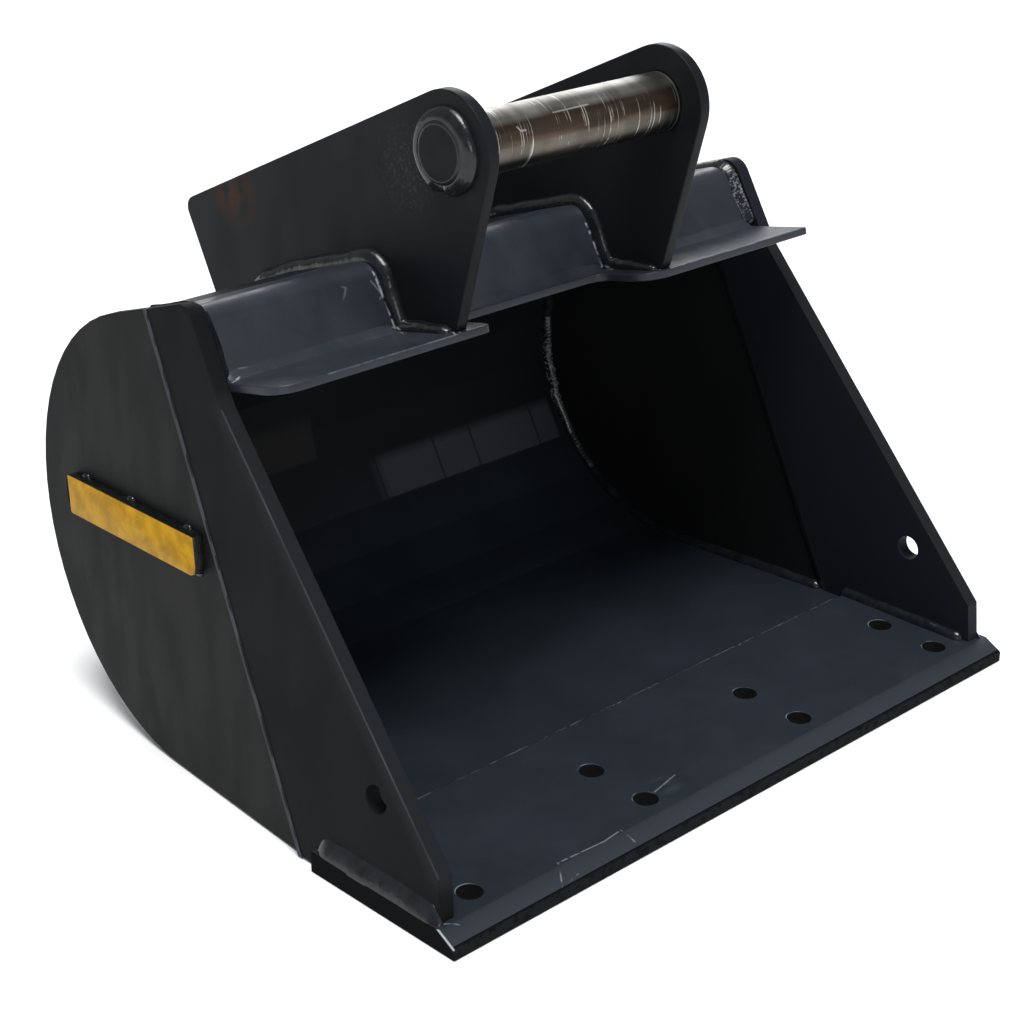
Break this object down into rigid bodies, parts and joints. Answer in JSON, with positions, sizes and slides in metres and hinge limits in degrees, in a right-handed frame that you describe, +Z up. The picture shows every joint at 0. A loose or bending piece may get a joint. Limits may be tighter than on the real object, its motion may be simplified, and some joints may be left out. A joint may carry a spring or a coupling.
{
  "type": "excavator digging bucket",
  "caption": "Welded digging bucket with a bent shell, leaning side plates, a flat cutting edge, a top beam and a pair of ears with a coupler pin.",
  "frame": {"origin": "on the ground under the middle of the bucket's bounding box", "axes": "+X to the right as seen from in front of the mouth, -Y out of the mouth towards the tip of the cutting edge, +Z up"},
  "size_m": [0.6, 0.5138, 0.4975],
  "materials": {
    "shell_paint": "satin",
    "coupler_paint": "satin",
    "edge_paint": "satin, scratched",
    "weld_paint": "satin over rippled weld beads",
    "pin_steel": "bare, oiled and rubbed"
  },
  "bodies": {
    "root": {"cutting_edge": "edge_paint", "wrapper": "shell_paint", "left_side_sheet": "shell_paint", "right_side_sheet": "shell_paint", "left_side_cutter": "shell_paint", "right_side_cutter": "shell_paint", "top_beam": "coupler_paint", "top_flange": "coupler_paint", "torque_plate": "coupler_paint", "left_ear": "coupler_paint", "right_ear": "coupler_paint", "coupler_pin": "pin_steel", "rear_lock_bar": "coupler_paint", "left_wear_strip": "shell_paint", "middle_wear_strip": "shell_paint", "right_wear_strip": "shell_paint", "floor_seam_weld": "weld_paint", "left_joint_weld": "weld_paint", "right_joint_weld": "weld_paint", "left_lip_outer_weld": "weld_paint", "right_lip_outer_weld": "weld_paint", "left_lip_inner_weld": "weld_paint", "right_lip_inner_weld": "weld_paint", "left_shell_inner_weld": "weld_paint", "right_shell_inner_weld": "weld_paint", "left_shell_outer_weld": "weld_paint", "right_shell_outer_weld": "weld_paint", "left_beam_weld": "weld_paint", "right_beam_weld": "weld_paint", "flange_root_welds": "weld_paint", "left_ear_outer_weld": "weld_paint", "left_ear_inner_weld": "weld_paint", "right_ear_outer_weld": "weld_paint", "right_ear_inner_weld": "weld_paint", "left_pin_weld": "weld_paint", "right_pin_weld": "weld_paint", "lock_bar_welds": "weld_paint"}
  },
  "joints": []
}
